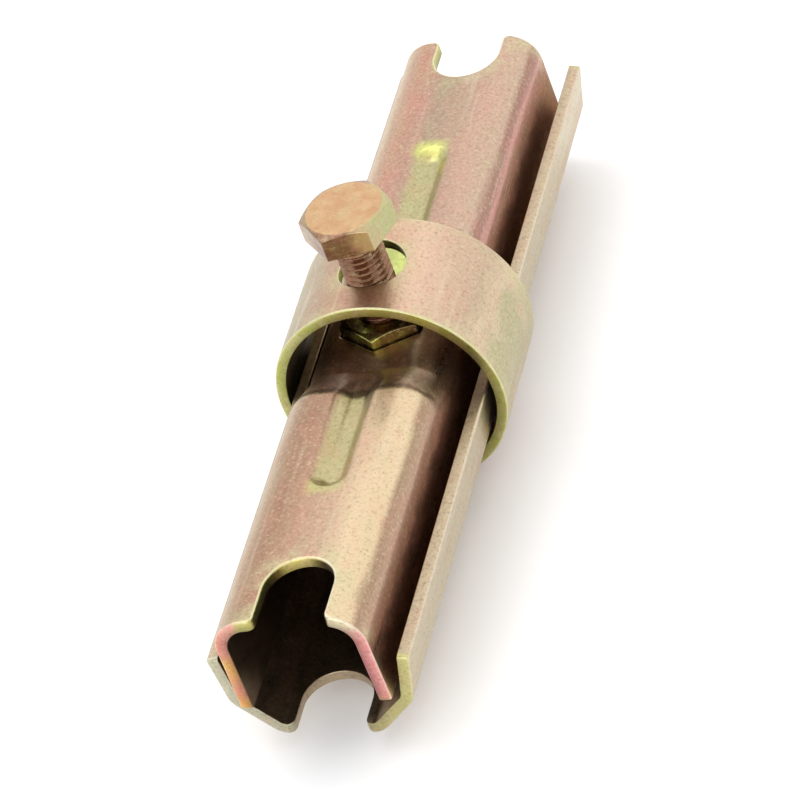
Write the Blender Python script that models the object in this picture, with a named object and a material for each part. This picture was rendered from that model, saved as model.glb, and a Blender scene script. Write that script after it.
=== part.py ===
"""Scaffold joint pin: an expanding inner coupler that joins two 48.3 mm scaffold tubes end to end.

Two pressed steel half channels nest in each other and slide into the tubes. A collar round their
middle stops the tube ends. A bolt goes through the collar and a nut on the upper half, and pushes
on the lower half, so turning it drives the halves apart until they grip the tubes.

Metres, +Z up. The tube axis is Y. The origin is on the ground under the middle of the whole pin.
The halves are shown loose, as they lie on a bench: pushed a little apart along the tube, with the
upper half and its bolt leaning a few degrees and the collar a little off the middle.
"""

import math

import bmesh
import bpy
from mathutils import Matrix, Vector

MM = 0.001
GAP = 0.35 * MM

# Collar: a short piece of tube of the same outside diameter as the scaffold tube
TUBE_OD = 48.3 * MM
COLLAR_WALL = 2.3 * MM
COLLAR_LENGTH = 28.0 * MM
COLLAR_SIDES = 24
COLLAR_CHAMFER = 0.5 * MM
COLLAR_HOLE_D = 14.3 * MM

# The two pressed halves
SHEET = 2.5 * MM
BEND_STEPS = 4
SMOOTH_BENDS = math.radians(35)

LOWER_LENGTH = 180.0 * MM
LOWER_TIP = (20.6 * MM, 1.4 * MM)
LOWER_BEND = (18.75 * MM, -10.4 * MM)
LOWER_CORNER = (10.4 * MM, -19.1 * MM)
LOWER_RADIUS = 4.5 * MM

UPPER_LENGTH = 177.0 * MM
UPPER_TOP = 14.9 * MM
UPPER_SHOULDER = 15.4 * MM
UPPER_FOOT = (15.6 * MM, -8.4 * MM)
UPPER_RADIUS = 9.0 * MM
UPPER_LEAN = math.radians(-3.5)
UPPER_OFFSET = -0.3 * MM

# Places along the tube: the lower half and the bolt from the collar's middle, and the middle of
# the upper half from its nut, which isn't quite in the middle
LOWER_AHEAD = 0.6 * MM
BOLT_BEHIND = 1.8 * MM
UPPER_BEHIND = 1.9 * MM

# End notches. The upper half's are off its middle line, and one of them is deeper.
NOTCH_WIDTH = 14.6 * MM
NOTCH_DEPTH = 14.4 * MM
UPPER_NOTCH_X = 1.4 * MM
UPPER_NEAR_NOTCH = 16.6 * MM
UPPER_FAR_NOTCH = 13.0 * MM
NOTCH_MARGIN = 2.0 * MM
NOTCH_STEPS = 4
EAR_RADIUS = 1.8 * MM

# Recess across the upper half that holds the nut, and the pressed groove on each side of it
RECESS_DEPTH = 3.9 * MM
RECESS_FLOOR = 13.5 * MM
RECESS_LIP = 25.0 * MM
RECESS_STEPS = 6
RECESS_FADES_OUT = 0.45
RECESS_IS_FULL = 0.75
GROOVE_X = 0.6 * MM
GROOVE_DEPTH = 1.9 * MM
GROOVE_END = 52.2 * MM
GROOVE_HALF_WIDTH = 4.6 * MM
GROOVE_FLOOR = 1.3 * MM
GROOVE_STEPS = 3

# M10 x 50 bolt, threaded to the head, and its nut, which sits in a hexagonal hole in the recess
SHANK_D = 9.9 * MM
BOLT_LENGTH = 50.0 * MM
BOLT_TIP = -16.0 * MM
TIP_CHAMFER = 1.0 * MM
HEX_ACROSS_FLATS = 17.0 * MM
HEAD_HEIGHT = 6.4 * MM
HEX_CHAMFER_D = 16.2 * MM
HEX_CHAMFER_SLOPE = math.radians(30)
NUT_HEIGHT = 8.0 * MM
NUT_STANDS_OUT = 2.85 * MM
NUT_BORE_D = 10.5 * MM
HEAD_CORNER = math.radians(12.7)
NUT_CORNER = math.radians(27.0)
ROUND_SIDES = 32

# Tack welds under the recess that hold the nut in its hole
WELD_LENGTH = 5.5 * MM
WELD_RADIUS = 1.8 * MM
WELD_STEPS = 4
WELD_TURN = NUT_CORNER + math.radians(30)

COLLAR_RADIUS = TUBE_OD / 2
COLLAR_BORE = COLLAR_RADIUS - COLLAR_WALL
COLLAR_Z = COLLAR_RADIUS * math.cos(math.pi / COLLAR_SIDES)
NEAR_END = BOLT_BEHIND + UPPER_BEHIND + UPPER_LENGTH / 2
FAR_END = LOWER_AHEAD + LOWER_LENGTH / 2
COLLAR_Y = (NEAR_END - FAR_END) / 2
RECESS_Z = UPPER_TOP - RECESS_DEPTH
NUT_TOP = RECESS_Z + NUT_STANDS_OUT
NUT_LOW = NUT_TOP - NUT_HEIGHT
HEX_RADIUS = HEX_ACROSS_FLATS / math.sqrt(3)
HEX_HOLE_RADIUS = (HEX_ACROSS_FLATS + 2 * GAP) / math.sqrt(3)


def clear_scene():
    for obj in list(bpy.data.objects):
        bpy.data.objects.remove(obj, do_unlink=True)


def plated_steel(name, colour, roughness):
    material = bpy.data.materials.new(name)
    material.use_nodes = True
    shader = material.node_tree.nodes["Principled BSDF"]
    shader.inputs["Base Color"].default_value = (*colour, 1.0)
    shader.inputs["Metallic"].default_value = 1.0
    shader.inputs["Roughness"].default_value = roughness
    return material


def add_empty(name, location, lean=0.0):
    """An empty on a joint's axis. The lean turns it about Y."""
    empty = bpy.data.objects.new(name, None)
    empty.empty_display_size = 0.01
    empty.location = location
    empty.rotation_euler = (0.0, lean, 0.0)
    bpy.context.scene.collection.objects.link(empty)
    return empty


def add_object(name, bm, material=None, parent=None, smooth_angle=None):
    bmesh.ops.recalc_face_normals(bm, faces=bm.faces)
    mesh = bpy.data.meshes.new(name)
    bm.to_mesh(mesh)
    bm.free()
    if smooth_angle:
        mesh.shade_smooth()
        mesh.set_sharp_from_angle(angle=smooth_angle)
    obj = bpy.data.objects.new(name, mesh)
    if material:
        mesh.materials.append(material)
    obj.parent = parent
    bpy.context.scene.collection.objects.link(obj)
    return obj


def add_cutter(name, bm, parent):
    cutter = add_object(name, bm, parent=parent)
    cutter.hide_render = True
    cutter.display_type = "WIRE"
    return cutter


def cut(obj, cutter):
    modifier = obj.modifiers.new("cut_" + cutter.name, "BOOLEAN")
    modifier.operation = "DIFFERENCE"
    modifier.solver = "EXACT"
    modifier.object = cutter


def smoothstep(low, high, value):
    t = min(max((value - low) / (high - low), 0.0), 1.0)
    return t * t * (3.0 - 2.0 * t)


def rounded(points, radius, steps):
    """The polyline through the points, with each inner corner replaced by an arc."""
    path = [Vector(points[0])]
    for before, corner, after in zip(points, points[1:], points[2:]):
        corner = Vector(corner)
        back = (Vector(before) - corner).normalized()
        ahead = (Vector(after) - corner).normalized()
        half = back.angle(ahead) / 2
        reach = radius / math.tan(half)
        centre = corner + (back + ahead).normalized() * (radius / math.sin(half))
        start = corner + back * reach - centre
        turn = start.angle_signed(corner + ahead * reach - centre)
        for step in range(steps + 1):
            path.append(centre + Matrix.Rotation(-turn * step / steps, 2) @ start)
    path.append(Vector(points[-1]))
    return path


def upper_profile(steps):
    """Outer line of the upper half's section, from its left foot over the web to its right foot."""
    foot_x, foot_z = UPPER_FOOT
    corners = [
        (-foot_x, foot_z),
        (-UPPER_SHOULDER, UPPER_TOP),
        (UPPER_SHOULDER, UPPER_TOP),
        (foot_x, foot_z),
    ]
    return rounded(corners, UPPER_RADIUS, steps)


def lower_profile(steps):
    """Outer line of the lower half's section, from its left tip round the bottom to its right tip."""
    right = [LOWER_CORNER, LOWER_BEND, LOWER_TIP]
    left = [(-x, z) for x, z in reversed(right)]
    return rounded(left + right, LOWER_RADIUS, steps)


def split_web(profile, xs):
    """The profile with extra points on its flat top, where the groove is pressed."""
    top = max(point.y for point in profile)
    left = [p for p in profile if p.x < 0]
    right = [p for p in profile if p.x > 0]
    return left + [Vector((x, top)) for x in xs] + right


def pressed_in(x, y, web):
    """How far the upper half's surface is pressed down at x along its web and y along the tube."""
    away = abs(y)
    recess = RECESS_DEPTH * (1.0 - smoothstep(RECESS_FLOOR, RECESS_LIP, away))
    past_end = max(away - (GROOVE_END - GROOVE_HALF_WIDTH), 0.0)
    across = math.hypot(x - GROOVE_X, past_end)
    groove = GROOVE_DEPTH * (1.0 - smoothstep(GROOVE_FLOOR, GROOVE_HALF_WIDTH, across))
    groove *= smoothstep(RECESS_FLOOR, RECESS_LIP, away)
    return recess * web + groove


def sheet(name, profile, stations, material, parent, depth=None):
    """A bent sheet: the outer line at each station along Y, thickened inwards."""
    top = max(point.y for point in profile)
    bottom = min(point.y for point in profile)
    bm = bmesh.new()
    rows = []
    for y in stations:
        row = []
        for point in profile:
            web = smoothstep(RECESS_FADES_OUT, RECESS_IS_FULL, (point.y - bottom) / (top - bottom))
            drop = depth(point.x, y, web) if depth else 0.0
            row.append(bm.verts.new((point.x, y, point.y - drop)))
        rows.append(row)
    for near, far in zip(rows, rows[1:]):
        for i in range(len(profile) - 1):
            bm.faces.new((near[i], near[i + 1], far[i + 1], far[i]))
    obj = add_object(name, bm, material, parent, smooth_angle=SMOOTH_BENDS)
    thicken = obj.modifiers.new("sheet_thickness", "SOLIDIFY")
    thicken.thickness = SHEET
    thicken.use_even_offset = True
    return obj


def notch_outline(end, length, depth, middle):
    """Outline of one end notch: its mouth between rounded ears, straight sides, a round bottom."""
    half = NOTCH_WIDTH / 2
    side = [(half + EAR_RADIUS, -NOTCH_MARGIN)]
    for step in range(NOTCH_STEPS + 1):
        a = math.pi / 2 * step / NOTCH_STEPS
        side.append((half + EAR_RADIUS * (1 - math.sin(a)), EAR_RADIUS * (1 - math.cos(a))))
    for step in range(2 * NOTCH_STEPS + 1):
        a = math.pi / 4 * step / NOTCH_STEPS
        side.append((half * math.cos(a), depth - half + half * math.sin(a)))
    whole = side + [(-x, inward) for x, inward in reversed(side[:-1])]
    return [(middle + x, end * (length / 2 - inward)) for x, inward in whole]


def notch_cutter(name, outline, low, high, parent):
    """A vertical prism of the notch's outline."""
    bm = bmesh.new()
    bottom = [bm.verts.new((x, y, low)) for x, y in outline]
    face = bm.faces.new(bottom)
    grown = bmesh.ops.extrude_face_region(bm, geom=[face])
    moved = [v for v in grown["geom"] if isinstance(v, bmesh.types.BMVert)]
    bmesh.ops.translate(bm, verts=moved, vec=(0.0, 0.0, high - low))
    return add_cutter(name, bm, parent)


def cylinder_cutter(name, diameter, low, high, parent):
    bm = bmesh.new()
    turn = Matrix.Translation((0.0, 0.0, (low + high) / 2))
    bmesh.ops.create_cone(
        bm,
        cap_ends=True,
        segments=ROUND_SIDES,
        radius1=diameter / 2,
        radius2=diameter / 2,
        depth=high - low,
        matrix=turn,
    )
    return add_cutter(name, bm, parent)


def lathe(profile, axis, sides, turn=0.0):
    """A ring or a solid turned from (radius, height) points round the axis, which is Y or Z."""
    bm = bmesh.new()
    rings = []
    for radius, height in profile:
        ring = []
        for i in range(sides if radius > 0 else 1):
            a = turn + 2 * math.pi * i / sides
            across = (radius * math.sin(a), radius * math.cos(a))
            spot = (across[0], height, across[1]) if axis == "Y" else (*across, height)
            ring.append(bm.verts.new(spot))
        rings.append(ring)
    closed = profile[0][0] > 0
    pairs = list(zip(rings, rings[1:] + rings[:1])) if closed else list(zip(rings, rings[1:]))
    for one, two in pairs:
        for i in range(sides):
            corners = [one[i % len(one)], one[(i + 1) % len(one)]]
            corners += [two[(i + 1) % len(two)], two[i % len(two)]]
            bm.faces.new(list(dict.fromkeys(corners)))
    return bm


def hex_prism(radius, low, high, corner):
    """A hexagon prism along Z with one corner at that angle from X."""
    bm = bmesh.new()
    turn = Matrix.Rotation(corner - math.pi / 2, 4, "Z")
    bmesh.ops.create_cone(
        bm,
        cap_ends=True,
        segments=6,
        radius1=radius,
        radius2=radius,
        depth=high - low,
        matrix=Matrix.Translation((0.0, 0.0, (low + high) / 2)) @ turn,
    )
    return bm


def chamfer_profile(low, high, both_ends):
    """Outline of the cone-ended barrel that a hexagon is trimmed to, to chamfer its corners."""
    wide = HEX_RADIUS + MM
    drop = (wide - HEX_CHAMFER_D / 2) * math.tan(HEX_CHAMFER_SLOPE)
    start = [(0, low), (HEX_CHAMFER_D / 2, low), (wide, low + drop)]
    plain = [(0, low - MM), (wide, low - MM)]
    end = [(wide, high - drop), (HEX_CHAMFER_D / 2, high), (0, high)]
    return (start if both_ends else plain) + end


def trim(obj, barrel):
    modifier = obj.modifiers.new("trim_" + barrel.name, "BOOLEAN")
    modifier.operation = "INTERSECT"
    modifier.solver = "EXACT"
    modifier.object = barrel


def join_to(obj, other):
    modifier = obj.modifiers.new("join_" + other.name, "BOOLEAN")
    modifier.operation = "UNION"
    modifier.solver = "EXACT"
    modifier.object = other


def build_collar(parent):
    edge = COLLAR_LENGTH / 2
    profile = [
        (COLLAR_BORE, -edge),
        (COLLAR_RADIUS - COLLAR_CHAMFER, -edge),
        (COLLAR_RADIUS, -edge + COLLAR_CHAMFER),
        (COLLAR_RADIUS, edge - COLLAR_CHAMFER),
        (COLLAR_RADIUS - COLLAR_CHAMFER, edge),
        (COLLAR_BORE, edge),
    ]
    bm = lathe(profile, "Y", COLLAR_SIDES, turn=math.pi / COLLAR_SIDES)
    plating = plated_steel("collar_plating", (0.66, 0.55, 0.42), 0.38)
    collar = add_object("collar", bm, plating, parent, smooth_angle=math.radians(30))
    drill = cylinder_cutter("collar_hole", COLLAR_HOLE_D, 0.0, TUBE_OD, parent)
    drill.rotation_euler = (0.0, UPPER_LEAN, 0.0)
    cut(collar, drill)


def build_lower_half(parent):
    plating = plated_steel("lower_plating", (0.62, 0.58, 0.42), 0.36)
    ends = [-LOWER_LENGTH / 2, LOWER_LENGTH / 2]
    lower = sheet("lower_half", lower_profile(BEND_STEPS), ends, plating, parent)
    low = LOWER_CORNER[1] - MM
    for end, label in ((-1, "near"), (1, "far")):
        outline = notch_outline(end, LOWER_LENGTH, NOTCH_DEPTH, 0.0)
        cut(lower, notch_cutter("lower_notch_" + label, outline, low, low + 3 * SHEET, parent))


def groove_reach():
    """Distances from the middle of the groove at which its side is laid down."""
    side = (GROOVE_HALF_WIDTH - GROOVE_FLOOR) / GROOVE_STEPS
    return [GROOVE_FLOOR + side * i for i in range(GROOVE_STEPS + 1)]


def upper_stations():
    """Where the upper half's section is laid down along Y, closer together where it is pressed."""
    ramp = (RECESS_LIP - RECESS_FLOOR) / RECESS_STEPS
    side = [0.0]
    side += [RECESS_FLOOR + ramp * i for i in range(RECESS_STEPS + 1)]
    side += [GROOVE_END - GROOVE_HALF_WIDTH]
    side += [GROOVE_END - reach for reach in reversed(groove_reach()[:-1])]
    side += [GROOVE_END, UPPER_LENGTH / 2]
    return [-y for y in reversed(side[1:])] + side


def build_upper_half(parent):
    """The upper half round its own middle. The parent is on the nut's line."""
    plating = plated_steel("upper_plating", (0.68, 0.53, 0.42), 0.34)
    reach = [-x for x in reversed(groove_reach())] + [0.0] + groove_reach()
    profile = split_web(upper_profile(BEND_STEPS), [GROOVE_X + x for x in reach])
    upper = sheet("upper_half", profile, upper_stations(), plating, parent, pressed_in)
    low = UPPER_TOP - 3 * SHEET
    high = UPPER_TOP + SHEET
    cutters = []
    for end, label, depth in ((-1, "near", UPPER_NEAR_NOTCH), (1, "far", UPPER_FAR_NOTCH)):
        outline = notch_outline(end, UPPER_LENGTH, depth, UPPER_NOTCH_X)
        cutters.append(notch_cutter("upper_notch_" + label, outline, low, high, parent))
    for piece in [upper] + cutters:
        piece.location.y = -UPPER_BEHIND
    hole = hex_prism(HEX_HOLE_RADIUS, RECESS_Z - 2 * SHEET, UPPER_TOP, NUT_CORNER)
    for cutter in cutters + [add_cutter("upper_nut_hole", hole, parent)]:
        cut(upper, cutter)


def build_nut(parent):
    plating = plated_steel("nut_plating", (0.62, 0.6, 0.36), 0.3)
    hexagon = hex_prism(HEX_RADIUS, NUT_LOW, NUT_TOP, NUT_CORNER)
    nut = add_object("nut", hexagon, plating, parent)
    barrel = lathe(chamfer_profile(NUT_LOW, NUT_TOP, True), "Z", ROUND_SIDES)
    trim(nut, add_cutter("nut_barrel", barrel, parent))
    cut(nut, cylinder_cutter("nut_bore", NUT_BORE_D, NUT_LOW - MM, NUT_TOP + MM, parent))


def build_weld(name, turn, parent):
    """A quarter-round tack under the recess, along the flat of the nut at that turn from X."""
    bm = bmesh.new()
    flat = HEX_ACROSS_FLATS / 2 + GAP
    under = RECESS_Z - SHEET - 2 * GAP
    arc = [(flat, under)]
    for step in range(WELD_STEPS + 1):
        a = math.pi / 2 * step / WELD_STEPS
        arc.append((flat + WELD_RADIUS * math.cos(a), under - WELD_RADIUS * math.sin(a)))
    corners = [bm.verts.new((x, -WELD_LENGTH / 2, z)) for x, z in arc]
    face = bm.faces.new(corners)
    grown = bmesh.ops.extrude_face_region(bm, geom=[face])
    moved = [v for v in grown["geom"] if isinstance(v, bmesh.types.BMVert)]
    bmesh.ops.translate(bm, verts=moved, vec=(0.0, WELD_LENGTH, 0.0))
    bmesh.ops.rotate(bm, verts=bm.verts, matrix=Matrix.Rotation(turn, 3, "Z"))
    bead = plated_steel(name + "_plating", (0.5, 0.5, 0.3), 0.5)
    add_object(name, bm, bead, parent, smooth_angle=math.radians(40))


def build_bolt(parent):
    plating = plated_steel("bolt_plating", (0.7, 0.5, 0.34), 0.32)
    under = BOLT_TIP + BOLT_LENGTH
    top = under + HEAD_HEIGHT
    shank = [
        (0, BOLT_TIP),
        (SHANK_D / 2 - TIP_CHAMFER, BOLT_TIP),
        (SHANK_D / 2, BOLT_TIP + TIP_CHAMFER),
        (SHANK_D / 2, under + HEAD_HEIGHT / 2),
        (0, under + HEAD_HEIGHT / 2),
    ]
    hexagon = hex_prism(HEX_RADIUS, under, top, HEAD_CORNER)
    bolt = add_object("bolt", hexagon, plating, parent)
    barrel = lathe(chamfer_profile(under, top, False), "Z", ROUND_SIDES)
    trim(bolt, add_cutter("bolt_barrel", barrel, parent))
    join_to(bolt, add_cutter("bolt_shank", lathe(shank, "Z", ROUND_SIDES), parent))


def main():
    clear_scene()
    build_collar(add_empty("collar_axis", (0.0, COLLAR_Y, COLLAR_Z)))
    build_lower_half(add_empty("lower_axis", (0.0, COLLAR_Y + LOWER_AHEAD, COLLAR_Z)))
    screw_line = (UPPER_OFFSET, COLLAR_Y - BOLT_BEHIND, COLLAR_Z)
    upper = add_empty("upper_lift_axis", screw_line, UPPER_LEAN)
    build_upper_half(upper)
    build_nut(upper)
    build_weld("nut_weld_far", WELD_TURN, upper)
    build_weld("nut_weld_near", WELD_TURN + math.pi, upper)
    build_bolt(add_empty("bolt_axis", screw_line, UPPER_LEAN))


main()
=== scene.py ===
"""The looks of the scaffold joint pin.

Every CAD node is replaced by a detailed mesh on the same body: sheet halves with rolled cut edges
and pressed grooves, a smooth collar, a bolt and nut with a real M10 thread, and rough tack welds.
All are steel with a yellow-passivated zinc plating.
"""

import math

import bmesh
import bpy
import numpy as np
from mathutils import Matrix, Vector, geometry, kdtree, noise


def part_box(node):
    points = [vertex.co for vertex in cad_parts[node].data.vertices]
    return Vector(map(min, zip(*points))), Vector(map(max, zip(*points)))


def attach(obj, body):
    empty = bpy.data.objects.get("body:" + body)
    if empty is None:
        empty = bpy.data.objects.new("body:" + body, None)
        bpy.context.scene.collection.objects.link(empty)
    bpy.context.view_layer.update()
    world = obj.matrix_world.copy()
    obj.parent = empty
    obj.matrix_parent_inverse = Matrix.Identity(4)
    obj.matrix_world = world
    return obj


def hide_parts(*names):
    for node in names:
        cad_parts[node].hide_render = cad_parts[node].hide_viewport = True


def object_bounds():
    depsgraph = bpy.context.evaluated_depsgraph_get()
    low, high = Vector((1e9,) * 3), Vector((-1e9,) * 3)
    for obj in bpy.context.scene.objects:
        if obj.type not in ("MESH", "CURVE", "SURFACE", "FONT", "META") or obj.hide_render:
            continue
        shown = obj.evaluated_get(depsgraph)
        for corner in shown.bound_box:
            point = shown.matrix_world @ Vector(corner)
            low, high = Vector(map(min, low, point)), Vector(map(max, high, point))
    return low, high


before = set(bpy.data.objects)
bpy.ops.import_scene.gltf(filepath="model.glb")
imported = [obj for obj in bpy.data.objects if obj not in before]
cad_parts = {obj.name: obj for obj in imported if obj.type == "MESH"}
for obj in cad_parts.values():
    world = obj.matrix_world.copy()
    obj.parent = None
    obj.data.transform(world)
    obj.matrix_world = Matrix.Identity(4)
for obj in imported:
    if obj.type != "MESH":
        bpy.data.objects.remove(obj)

MM = 0.001
cad_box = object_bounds()

# Places, from the frame
COLLAR_LOW, COLLAR_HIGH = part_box("collar")
LOWER_LOW, LOWER_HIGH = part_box("lower_half")
UPPER_LOW, UPPER_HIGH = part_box("upper_half")
BOLT_LOW, BOLT_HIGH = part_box("bolt")
COLLAR_CENTRE = (COLLAR_LOW + COLLAR_HIGH) / 2
COLLAR_HALF = (COLLAR_HIGH.y - COLLAR_LOW.y) / 2
LOWER_HALF = (LOWER_HIGH.y - LOWER_LOW.y) / 2
UPPER_HALF = (UPPER_HIGH.y - UPPER_LOW.y) / 2
LOWER_Y = (LOWER_HIGH.y + LOWER_LOW.y) / 2
UPPER_Y = (UPPER_HIGH.y + UPPER_LOW.y) / 2
SCREW_Y = (BOLT_HIGH.y + BOLT_LOW.y) / 2

# Sheet halves, in millimetres round the collar's centre, as the CAD has them
SHEET = 2.5
LOWER_RIGHT = [(10.4, -19.1), (18.75, -10.4), (20.6, 1.4)]
LOWER_CORNERS = [(-x, z) for x, z in reversed(LOWER_RIGHT)] + LOWER_RIGHT
LOWER_RADII = [4.5] * 4
UPPER_CORNERS = [(-15.6, -8.4), (-15.4, 14.9), (15.4, 14.9), (15.6, -8.4)]
UPPER_RADII = [7.5, 7.5]
UPPER_LEAN = math.radians(-3.5)
UPPER_OFFSET = -0.3
BEND_STEPS = 14

# Cut edges and end notches
NOTCH_HALF = 7.3
LOWER_NOTCHES = (14.4, 14.4)
UPPER_NOTCHES = (16.6, 13.0)
UPPER_NOTCH_X = 1.4
EAR = 1.6
BLANK_CORNER = 0.8
ROLLED_EDGE = 0.5
SHARP_EDGE = 0.2
EDGE_STEPS = 4
EDGE_REACH = 5.0

# Recess and grooves of the upper half
WEB_TOP = 14.9
RECESS_DEPTH = 3.9
RECESS_FLOOR = 13.5
RECESS_LIP = 25.0
WEB_FADES = (0.45, 0.75)
GROOVE_X = 0.6
GROOVE_DEPTH = 1.9
GROOVE_END = 52.2
GROOVE_FLOOR = 1.3
GROOVE_SIDE = 4.6

# Collar
TUBE_RADIUS = 24.15
COLLAR_WALL = 2.3
COLLAR_HOLE = 7.15
COLLAR_SEGMENTS = 192
COLLAR_EDGE = 0.45
HOLE_EDGE = 0.3

# M10 bolt and nut
PITCH = 1.5
MAJOR = 4.93
MINOR = 4.08
THREAD_CLEARANCE = 0.12
BOLT_TIP = -16.0
BOLT_LENGTH = 50.0
HEAD_HEIGHT = 6.4
NECK = 2.2
ACROSS_FLATS = 17.0
CHAMFER_RADIUS = 8.1
CHAMFER_SLOPE = math.tan(math.radians(30))
HEAD_CORNER = math.radians(12.7)
NUT_CORNER = math.radians(27.0)
NUT_TOP = WEB_TOP - RECESS_DEPTH + 2.85
NUT_HEIGHT = 8.0
COUNTERSINK = 5.3
NUT_GAP = 0.35
HEX_CORNER_RADIUS = 0.35
CROWN_RISE = 0.06
WASHER_RADIUS = 8.0
NECK_RADIUS = MAJOR - 0.28
TIP_RADIUS = MINOR - 0.35

# A thread's profile, as (share of the pitch, depth under the major radius)
THREAD_PHASES = [(-0.075, 0.0), (-0.045, 0.035), (0.045, 0.035), (0.075, 0.0)]
THREAD_PHASES += [(0.36, -0.79), (0.43, -0.85), (0.57, -0.85), (0.64, -0.79)]

# Tack welds
WELD_LENGTH = 6.4
WELD_SIZE = 2.1
WELD_RINGS = 28
WELD_ARC = 9

# Light
SKY = 1.18
GLOW = 0.25
GLOW_DIRECTION = Vector((0.42, 0.726, 0.545))
FLOOR_SIZE = 4.0
FILM_GAIN = (0.86, 0.86, 0.86, 1.0)

# Camera, aimed from the collar's centre
CAMERA_AZIMUTH = math.radians(23.90)
CAMERA_ELEVATION = math.radians(39.47)
CAMERA_ROLL = math.radians(-17.70)
CAMERA_DISTANCE = 0.9244
CAMERA_AIM = Vector((-1.59, -6.52, -7.45)) * MM
CAMERA_LENS = 202.7


def smoothstep(low, high, value):
    t = min(max((value - low) / (high - low), 0.0), 1.0)
    return t * t * (3.0 - 2.0 * t)


def ramp(low, high, value, blend):
    """0 at low, 1 at high, straight between, with that share at each end rounded."""
    t = min(max((value - low) / (high - low), 0.0), 1.0)
    slope = 1.0 / (1.0 - blend)
    if t < blend:
        return slope * t * t / (2 * blend)
    if t > 1 - blend:
        return 1 - slope * (1 - t) ** 2 / (2 * blend)
    return slope * (t - blend / 2)


class Section:
    """A bent sheet's outer line, by the distance u from its middle, with the inward direction."""

    def __init__(self, corners, radii):
        line = [Vector(corners[0])]
        inward = [None]
        for before, corner, after, radius in zip(corners, corners[1:], corners[2:], radii):
            corner = Vector(corner)
            back = (Vector(before) - corner).normalized()
            ahead = (Vector(after) - corner).normalized()
            half = back.angle(ahead) / 2
            centre = corner + (back + ahead).normalized() * (radius / math.sin(half))
            reach = radius / math.tan(half)
            start = corner + back * reach - centre
            turn = start.angle_signed(corner + ahead * reach - centre)
            for step in range(BEND_STEPS + 1):
                spoke = Matrix.Rotation(-turn * step / BEND_STEPS, 2) @ start
                line.append(centre + spoke)
                inward.append(-spoke.normalized())
        line.append(Vector(corners[-1]))
        inward[0] = inward[1]
        inward.append(inward[-1])
        self.line = np.array(line)
        self.inward = np.array(inward)
        lengths = np.hypot(*np.diff(self.line, axis=0).T)
        self.half = lengths.sum() / 2
        self.u = np.concatenate([[0.0], np.cumsum(lengths)]) - self.half
        self.bottom = self.line[:, 1].min()
        self.top = self.line[:, 1].max()

    def at(self, u, depth=0.0):
        """x and z at u, that far under the outer line."""
        under = self.line + depth * self.inward
        return float(np.interp(u, self.u, under[:, 0])), float(np.interp(u, self.u, under[:, 1]))

    def u_at(self, x, depth=0.0):
        return float(np.interp(x, (self.line + depth * self.inward)[:, 0], self.u))


def arc(centre, radius, start, end, steps):
    """Points on an arc, its angles in degrees. The second coordinate counts down from the centre."""
    turns = [math.radians(start + (end - start) * i / steps) for i in range(steps + 1)]
    return [(centre[0] + radius * math.cos(a), centre[1] - radius * math.sin(a)) for a in turns]


class Blank:
    """The flat sheet that a half is bent from: its size, and its end notches, near and far."""

    def __init__(self, half, length, notches, notch_x=0.0):
        self.half = half
        self.length = length
        self.notches = notches
        self.notch_x = notch_x

    def end_side(self, side, depth, inset, us):
        """From the right edge (the left one if side is -1) to the notch's middle, as (u, how far in
        from the end)."""
        middle = side * self.notch_x
        ear = (middle + NOTCH_HALF + EAR, EAR)
        path = arc((self.half - BLANK_CORNER, BLANK_CORNER), BLANK_CORNER - inset, 0, 90, 4)
        last = self.half - BLANK_CORNER - 0.3
        path += [(u, inset) for u in us[::-1] if ear[0] + 0.3 < u < last]
        path += arc(ear, EAR - inset, 90, 180, 8)
        walls = np.linspace(EAR, depth - NOTCH_HALF, 10)[1:-1]
        path += [(middle + NOTCH_HALF + inset, deep) for deep in walls]
        path += arc((middle, depth - NOTCH_HALF), NOTCH_HALF + inset, 0, -90, 24)
        return [(side * u, deep) for u, deep in path]

    def end(self, depth, inset, us):
        left = self.end_side(-1, depth, inset, us)
        return self.end_side(1, depth, inset, us) + left[-2::-1]

    def outline(self, inset, us, ys):
        """The flat blank's outline, anticlockwise, moved in from its cut edge."""
        near, far = self.notches
        straight = [y for y in ys if abs(y) < self.length - BLANK_CORNER - 0.3]
        loop = [(self.half - inset, y) for y in straight]
        loop += [(u, self.length - deep) for u, deep in self.end(far, inset, us)]
        loop += [(inset - self.half, y) for y in reversed(straight)]
        loop += [(u, deep - self.length) for u, deep in self.end(near, inset, us)[::-1]]
        return loop


def inside(polygon, points):
    """Which points lie in the polygon."""
    found = np.zeros(len(points), bool)
    for (ax, ay), (bx, by) in zip(polygon, polygon[1:] + polygon[:1]):
        crosses = (ay > points[:, 1]) != (by > points[:, 1])
        if ay != by:
            found ^= crosses & (points[:, 0] < ax + (points[:, 1] - ay) * (bx - ax) / (by - ay))
    return found


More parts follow.
